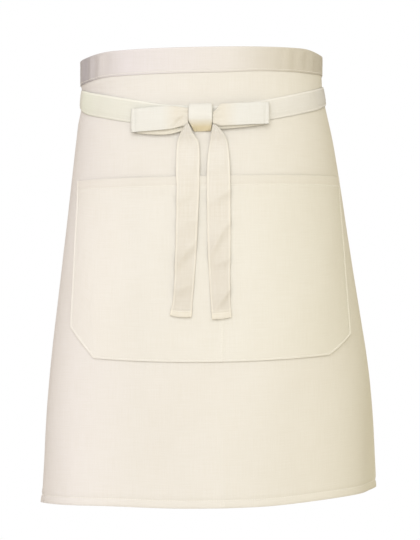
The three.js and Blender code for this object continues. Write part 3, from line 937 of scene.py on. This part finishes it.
def pocket_place(along, row, side):
    drop = pocket_drop(along, row)
    hem = 1 - ease(row, POCKET_HEM, POCKET_HEM + HEM_STEP)
    thick = CLOTH * (1 + hem)
    to_side = of_half(along, POCKET_WIDTHS) - np.abs(along)
    slope = of_half(along, POCKET_CUTS_UP) / of_half(along, POCKET_CUTS_ACROSS)
    on_slant = to_side < of_half(along, POCKET_CUTS_ACROSS)
    to_foot = (pocket_bottom(along) - drop) * np.where(on_slant, 1 / np.hypot(1, slope), 1)
    ridge = RIDGE_HEIGHT * bell(along, RIDGE_HALF_WIDTH) + seam(along - GROOVE_ALONG, GROOVE_DEEPER)
    seams = (
        seam(row - POCKET_HEM_STITCH, *MOUTH_GROOVE)
        + seam(to_side - STITCH_INSET)
        + seam(to_foot - STITCH_INSET)
        + ridge * ease(row, *RIDGE_FADE)
        + EDGE_HEIGHT * (1 - ease(np.minimum(to_side, to_foot), *EDGE_FADE))
    )
    inside = np.clip(to_side / POCKET_FLAT_EDGE, 0, 1) * np.clip(to_foot / POCKET_FLAT_EDGE, 0, 1)
    hills = unevenness("pocket", along, drop) * inside
    face = CLOTH + pocket_gap(along, drop) + CLOTH * (2 - ease(row, *POCKET_SETTLES))
    dents = np.maximum(hills + seams, np.where(side < 0, *POCKET_DEEPEST))
    return on_form(along, drop, face + (side - 0.5) * thick + panel_relief(along, drop) + dents)


def pocket_outline():
    """The pocket's sewn edge, from one side's top round the foot to the other's."""
    right, left = (width - STITCH_INSET for width in POCKET_WIDTHS)
    foot = POCKET_DEPTH - STITCH_INSET
    corners = [(-POCKET_CORNERS[0], foot), (POCKET_CORNERS[1], foot)]
    return [(-right, POCKET_ROW_TOP), (-right, foot), *corners, (left, foot), (left, POCKET_ROW_TOP)]


def bar_tack(along):
    """Rows of one stitch, one above the other."""
    rows = [TACK_TOP + k * TACK_PITCH for k in range(int(TACK_HEIGHT / TACK_PITCH))]
    ends = (along - TACK_HALF_WIDTH, along + TACK_HALF_WIDTH)
    return [stitch_row(pocket_place, [(end, row) for end in ends]) for row in rows]


pocket = sheet_piece(
    "pocket_cloth",
    rounded(
        (-POCKET_WIDTHS[0], -POCKET_CORNERS[0], POCKET_CORNERS[1], POCKET_WIDTHS[1]),
        STEPS["pocket"][0],
        (-POCKET_WIDTHS[0] + STITCH_INSET, 0, POCKET_WIDTHS[1] - STITCH_INSET),
    ),
    rounded(
        (0, POCKET_HEM, POCKET_HEM + HEM_STEP, POCKET_DEPTH),
        STEPS["pocket"][1],
        (POCKET_HEM_STITCH, POCKET_DEPTH - STITCH_INSET),
    ),
    pocket_place,
    POCKET_COTTON,
)
hem_row_ends = (-POCKET_WIDTHS[0] + POCKET_HEM_ROW_INSET, POCKET_WIDTHS[1] - POCKET_HEM_ROW_INSET)
pocket_stitches = stitching(
    "pocket_stitching",
    [
        stitch_row(pocket_place, pocket_outline()),
        stitch_row(pocket_place, [(end, POCKET_HEM_STITCH) for end in hem_row_ends]),
        *[stitch_row(pocket_place, [(a, ROW_INSET), (a, POCKET_DEPTH - STITCH_INSET)]) for a in RIDGE_ROWS],
        *bar_tack(-POCKET_WIDTHS[0] + TACK_INSET),
        *bar_tack(POCKET_WIDTHS[1] - TACK_INSET),
    ],
    THREAD,
)


# Ties

TIE_SAMPLES = 400
TIE_EDGE_POWER = 5
TIE_FLAT_EDGE = 3
TIE_GROOVE_INSET = 4.5


def tie_ends(side, drop):
    """The turns where a tie leaves the waistband and where it reaches the knot, at given drops."""
    start = turn_of(np.full_like(drop, side * (PANEL_HALF + GAP)), drop)
    knot_side = KNOT_LEFT - GAP if side > 0 else KNOT_RIGHT + GAP
    return start, turn_of(np.full_like(drop, knot_side), drop) + side * 2 * math.pi


def tie_line(side, route, share, height):
    drop, out = columns(route, share)
    drop = drop + height
    start, end = tie_ends(side, drop)
    return blend(start, end, share), drop, out


def tie_length(side, route):
    share = np.linspace(0, 1, TIE_SAMPLES)
    points = on_turn(*tie_line(side, route, share, 0))
    return np.linalg.norm(np.diff(points, axis=0), axis=1).sum()


def bulge(v, half):
    """How far a tie's outer face falls back towards its long edges."""
    return TIE_BULGE * (np.abs(v) / half) ** TIE_EDGE_POWER


def tie_place(name):
    side, route = TIES[name]
    length = tie_length(side, route)
    half = TIE_PULLED / 2

    def place(u, v, through):
        share = np.clip(u / length, 0, 1) if side > 0 else 1 - np.clip(u / length, 0, 1)
        upper, lower = columns(TIE_EDGES[name], share)
        drawn_up = np.where(v < 0, upper, lower) * np.abs(v) / half
        turn, drop, out = tie_line(side, route, share, v - drawn_up)
        seams = seam(half - STITCH_INSET - np.abs(v)) + seam(half - TIE_GROOVE_INSET - v, *TIE_GROOVE)
        hills = unevenness(name, u, v) * np.clip((half - np.abs(v)) / TIE_FLAT_EDGE, 0, 1)
        relief = hills + (through > 0) * (seams - bulge(v, half))
        return on_turn(turn, drop, out + through * TIE_THICKNESS + relief)

    return place, length


tie_pieces, tie_rows, tie_lengths = {}, [], {}
for name in TIES:
    place, length = tie_place(name)
    row = TIE_PULLED / 2 - STITCH_INSET
    tie_pieces[name] = strip_piece(name, "tie", length, TIE_PULLED, place, TIE_COTTONS[name])
    tie_rows += [stitch_row(place, [(ROW_INSET, v), (length - ROW_INSET, v)]) for v in (-row, row)]
    tie_lengths[name] = length


# Bow loops

LOOP_SWELL = 1.5
LOOP_PROBE = 0.4
LOOP_BULGE = 0.6
FOLD_GROOVE_INSET, FOLD_GROOVE_DEEPER = 3.5, 3
SHOULDER_REACH = 11
# At the knot: gathers, a diagonal dimple, a tucked lower edge, and the back leaf's share of these
GATHER_DEPTH, GATHER_COUNT, GATHER_REACH = 0.9, 5, 11
DIMPLE_AT, DIMPLE_HALF_LENGTH, DIMPLE_HALF_WIDTH = 11, 8, 3.6
DIMPLE_START, DIMPLE_SLOPE = -4, 0.88
TUCK_REACH, TUCK_FROM = 10, -2
BACK_LEAF = 0.4


def loop_place(side, reach, back, fold, front, sag, knot_width, width, pinch, shoulder, dimple, tuck):
    run = reach - LOOP_RADIUS
    arc = math.pi * LOOP_RADIUS
    start = KNOT_LEFT - GAP if side < 0 else KNOT_RIGHT + GAP

    def centre(u):
        away = np.clip(np.minimum(u, 2 * run + arc - u) / run, 0, 1)
        turned = np.clip((u - run) / LOOP_RADIUS, 0, math.pi)
        at_knot = np.where(u < run + arc / 2, LOOP_BACK_OUT, LOOP_FRONT_OUT)
        along = start + side * (run * away + LOOP_RADIUS * np.sin(turned))
        return along, blend(at_knot, LOOP_FOLD_OUT - LOOP_RADIUS * np.cos(turned), away**LOOP_SWELL), away

    def gathered(v, near):
        """How far the front leaf stands out or in near the knot."""
        ripples = GATHER_DEPTH * np.cos(v / width * GATHER_COUNT * math.pi) * np.exp(-near / GATHER_REACH)
        off_line = v - DIMPLE_START - DIMPLE_SLOPE * near
        dimpled = dimple * bell(near - DIMPLE_AT, DIMPLE_HALF_LENGTH) * bell(off_line, DIMPLE_HALF_WIDTH)
        tucked = tuck * np.exp(-near / TUCK_REACH) * ease(v, TUCK_FROM, width / 2)
        return ripples - dimpled - tucked

    def place(u, v, through):
        along, out, away = centre(u)
        before, after = centre(u - LOOP_PROBE), centre(u + LOOP_PROBE)
        ahead, lift = after[0] - before[0], after[1] - before[1]
        length = np.hypot(ahead, lift)
        first = u < run + arc / 2
        hang = np.where(u < run, sag * np.sin(math.pi * away), 0)
        middle = blend(np.where(first, back, front), fold, away) + hang
        wide = blend(knot_width, width, ease(away, 0, pinch))
        share = v / width
        near = away * run
        drawn = shoulder * np.clip(-2 * share, 0, 1) * (1 - ease(near, 0, SHOULDER_REACH))
        gathers = gathered(v, near) * np.where(first, BACK_LEAF, 1)
        seams = (
            seam(width / 2 - STITCH_INSET - np.abs(v))
            + seam(run - FOLD_GROOVE_INSET - near, FOLD_GROOVE_DEEPER)
            - LOOP_BULGE * bulge(v, width / 2)
        )
        normal_out = np.sign(ahead) * gathers + seams * np.sign(through)
        half = (through * TIE_THICKNESS + normal_out) / length
        return on_form(along - lift * half, middle + share * wide + drawn, out + ahead * half)

    return place, 2 * run + arc


loop_pieces, loop_lengths = {}, {}
for name, table in LOOPS.items():
    place, length = loop_place(**table)
    loop_pieces[name] = strip_piece(name, "loop", length, table["width"], place, LOOP_COTTON)
    loop_lengths[name] = length


# Tails

# The drops over which a tail steps up onto the pocket and settles below its hem
TAIL_STEP = (POCKET_TOP - 45, POCKET_TOP - 3)
TAIL_SETTLES = (POCKET_TOP + POCKET_HEM + 10, POCKET_TOP + POCKET_HEM + 50)
TAIL_HEM_STEP = 0.5
TAIL_HEM_STITCH = 1.6
TAIL_HEM_ROW_INSET = 1.5
TAIL_DEEPEST = -0.6
# Distances below a tail's top: of its rows' start, the creases' beginning and the gathers' end
TAIL_ROWS_START = 18
TAIL_CREASES_FADE = (20, 50)
TAIL_GATHERS_FADE = (4, 40)
TAIL_GATHER_DEPTH = 0.8
# How far the foot stands out, and the distances from it over which it does so and rises
FOOT_OUT = 1.2
FOOT_OUT_FADE = (-18, 4)
FOOT_RISE_FADE = (-24, 0)


def front_face(along, drop):
    """The outer face of the cloth behind a tail: the panel's and then the pocket's."""
    risen = ease(drop, *TAIL_STEP)
    past_hem = ease(drop, *TAIL_SETTLES)
    return CLOTH + risen * (pocket_gap(along, drop) + CLOTH * (2 - past_hem))


def tail_place(name):
    rows = TAILS[name]
    start, end = rows[0, 0], rows[-1, 0]
    hem_edge = end - TAIL_HEM

    def place(u, v, through):
        share = u / TAIL_WIDTH
        left, right, clear = columns(rows, v)
        along = blend(left, right, share)
        thick = TAIL_THICKNESS + CLOTH * ease(v, hem_edge - TAIL_HEM_STEP, hem_edge)
        relief = seam(np.minimum(u, TAIL_WIDTH - u) - STITCH_INSET) + seam(v - (hem_edge + TAIL_HEM_STITCH))
        for drop, slope, rise, fall, depth, middle, reach in TAIL_CREASES[name]:
            below = v - drop + slope * (u - TAIL_WIDTH / 2)
            profile = np.where(below < 0, np.exp(np.minimum(below, 0) / rise), bell(below, fall))
            relief = relief + depth * profile * bell(u - middle, reach)
        relief = np.maximum(relief + unevenness(name, u, v), TAIL_DEEPEST)
        fade = ease(v - start, *TAIL_CREASES_FADE)
        gathers = TAIL_GATHER_DEPTH * np.cos(share * GATHER_COUNT * math.pi)
        drawn = gathers * (1 - ease(v - start, *TAIL_GATHERS_FADE))
        drawn = drawn + FOOT_OUT * ease(v - end, *FOOT_OUT_FADE)
        at_right, at_left = TAIL_FEET[name]
        foot = at_right * (1 - share) ** 3 + at_left * share**3
        drop = v - foot * ease(v - end, *FOOT_RISE_FADE)
        out = front_face(along, v) + clear + (through + 0.5) * thick + relief * fade + drawn
        return on_form(along, drop, out)

    return place, start, end


tail_pieces, tail_rows = {}, []
for name in TAILS:
    place, start, end = tail_place(name)
    hem_edge = end - TAIL_HEM
    hem_row = hem_edge + TAIL_HEM_STITCH
    edges = (STITCH_INSET, TAIL_WIDTH - STITCH_INSET)
    tail_pieces[name] = sheet_piece(
        name + "_cloth",
        rounded((0, TAIL_WIDTH), STEPS["tail"][0], edges),
        rounded((start, hem_edge - TAIL_HEM_STEP, hem_edge, end), STEPS["tail"][1], (hem_row,)),
        place,
        TAIL_COTTON,
    )
    tail_rows += [stitch_row(place, [(u, start + TAIL_ROWS_START), (u, end - ROW_INSET)]) for u in edges]
    hem_row_ends = (TAIL_HEM_ROW_INSET, TAIL_WIDTH - TAIL_HEM_ROW_INSET)
    tail_rows.append(stitch_row(place, [(u, hem_row) for u in hem_row_ends]))


# Knot

KNOT_SIDES = 72
KNOT_STEP = 1
KNOT_EDGE = 2
KNOT_SQUARENESS = 0.7
# The drop where the knot begins to narrow, and how far its sides come in at the foot
KNOT_NARROWS_FROM = 98
KNOT_NARROWING = (6, 1.5)
# The wrap's slanting folds at the foot, and a sharper dent among them
KNOT_FOLD, KNOT_FOLD_WAVES, KNOT_FOLD_SLANT = 0.5, 7, 0.4
KNOT_DENT_AT, KNOT_DENT_HALF_WIDTH = 0.16, 0.05
# The drop where the front turns back, how softly, and how much for each millimetre
KNOT_TURNS_IN, KNOT_TURN_EASE, KNOT_TURN_SHARE = 96, 3, 0.05
# The cosines of the turns where the front begins and is full
KNOT_FRONT_FADE = (0, 0.5)
# The length of cloth for each radian of the wrap
KNOT_WRAP = 12


def squared(wave):
    """A sine or cosine drawn out towards a square."""
    return np.sign(wave) * np.abs(wave) ** KNOT_SQUARENESS


def knot_piece():
    """The tie wrapped round the crossing: a soft barrel, drawn in at its foot."""
    width = KNOT_RIGHT - KNOT_LEFT
    around = np.linspace(-math.pi, math.pi, KNOT_SIDES + 1)[:-1]
    t, x = np.meshgrid(around, rounded((0, width), KNOT_STEP))
    inset = np.minimum(x, width - x)
    shrink = KNOT_EDGE * (1 - np.sqrt(1 - (1 - np.clip(inset / KNOT_EDGE, 0, 1)) ** 2))
    half_depth = (KNOT_FRONT - KNOT_BACK) / 2 - shrink
    half_height = (KNOT_BOTTOM - KNOT_TOP) / 2 - shrink
    out = (KNOT_FRONT + KNOT_BACK) / 2 + half_depth * squared(np.cos(t))
    drop = (KNOT_TOP + KNOT_BOTTOM) / 2 - half_height * squared(np.sin(t))
    low = ease(drop, KNOT_NARROWS_FROM, KNOT_BOTTOM)
    share = x / width
    along = blend(KNOT_LEFT + KNOT_NARROWING[0] * low, KNOT_RIGHT - KNOT_NARROWING[1] * low, share)
    front = ease(np.cos(t), *KNOT_FRONT_FADE)
    waves = np.cos(share * KNOT_FOLD_WAVES + KNOT_FOLD_SLANT * drop)
    folds = KNOT_FOLD * (waves - bell(share - KNOT_DENT_AT, KNOT_DENT_HALF_WIDTH)) * low
    below = drop - KNOT_TURNS_IN
    under = (np.hypot(below, KNOT_TURN_EASE) + below) / 2
    out = blend(out, KNOT_BACK, KNOT_TURN_SHARE * under) + front * (folds + unevenness("knot", x, drop))
    flat = np.stack([t * KNOT_WRAP, x], -1)
    return tube_piece("knot_cloth", on_form(along, drop, out), flat, KNOT_COTTON, turned=True)


knot = knot_piece()
tie_stitches = stitching("tie_stitching", tie_rows + tail_rows, THREAD)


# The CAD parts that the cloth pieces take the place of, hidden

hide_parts("skirt_panel")
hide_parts("waistband")
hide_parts("pocket")
for name, piece in tie_pieces.items():
    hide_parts(name)
for name, piece in loop_pieces.items():
    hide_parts(name)
for name, piece in tail_pieces.items():
    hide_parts(name)
    length = TAILS[name][-1, 0] - TAILS[name][0, 0] + TAIL_HEM
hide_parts("knot")


# Studio, in metres

FLOOR_RADIUS = 3.2
FLOOR_HEIGHT = -1.08
FLOOR_SIDES = 128
FLOOR_PAINT = {"Base Color": (0.82, 0.79, 0.73, 1), "Roughness": 0.9}
KEY_LIGHT = {"shape": "DISK", "size": 4.2, "energy": 112, "color": (0.94, 0.97, 1.02)}
KEY_PLACE, KEY_TARGET = Vector((-0.3, -3.8, 1.1)), Vector((0, 0, -0.35))
# The room's colours by direction: for each axis, places from -1 to 1
ROOM_FRONT = (0.77, 0.725, 0.64)
ROOM = {
    "X": [(-1, (0.90, 0.86, 0.90)), (-0.2, PLAIN), (0.2, PLAIN), (1, (0.95, 0.92, 0.78))],
    "Y": [(-1, ROOM_FRONT), (0.9, ROOM_FRONT), (0.97, PLAIN), (1, PLAIN)],
    "Z": [(-1, (0.80, 0.72, 0.58)), (-0.14, PLAIN), (1, PLAIN)],
}
CAMERA = {"lens": 136.9, "sensor_width": 36, "clip_end": 50}
CAMERA_PLACE = (11.6 * MM, -2800 * MM, -318.4 * MM)
CAMERA_TILT = 0.558


def floor():
    turns = np.arange(FLOOR_SIDES) * 2 * math.pi / FLOOR_SIDES
    rim = [(FLOOR_RADIUS * math.cos(t), FLOOR_RADIUS * math.sin(t), FLOOR_HEIGHT) for t in turns]
    mesh = bpy.data.meshes.new("floor")
    mesh.from_pydata(rim, [], [tuple(range(FLOOR_SIDES))])
    material = bpy.data.materials.new("floor_paint")
    material.use_nodes = True
    connect(material.node_tree.nodes["Principled BSDF"], FLOOR_PAINT)
    mesh.materials.append(material)
    placed("floor", mesh)


def key_light():
    data = bpy.data.lights.new("key", "AREA")
    set_all(data, KEY_LIGHT)
    light = placed("key", data)
    light.location = KEY_PLACE
    light.rotation_euler = (KEY_TARGET - KEY_PLACE).to_track_quat("-Z", "Y").to_euler()


def surroundings():
    """A pale room, white behind the apron, cooler from -X, warmer from +X and below."""
    world = bpy.data.worlds.new("studio")
    bpy.context.scene.world = world
    world.use_nodes = True
    tree = world.node_tree
    direction = new_node(tree, "ShaderNodeTexCoord", {}).outputs["Generated"]
    split = new_node(tree, "ShaderNodeSeparateXYZ", {0: direction})
    colour, *others = [colours_by(tree, split.outputs[axis], stops) for axis, stops in ROOM.items()]
    for other in others:
        colour = product(tree, colour, other)
    connect(tree.nodes["Background"], {"Color": colour})


def camera():
    data = bpy.data.cameras.new("camera")
    set_all(data, CAMERA)
    eye = placed("camera", data)
    eye.location = CAMERA_PLACE
    eye.rotation_euler = (math.radians(90 + CAMERA_TILT), 0, 0)
    bpy.context.scene.camera = eye


floor()
surroundings()
key_light()
camera()
bpy.context.scene.view_settings.view_transform = "Standard"
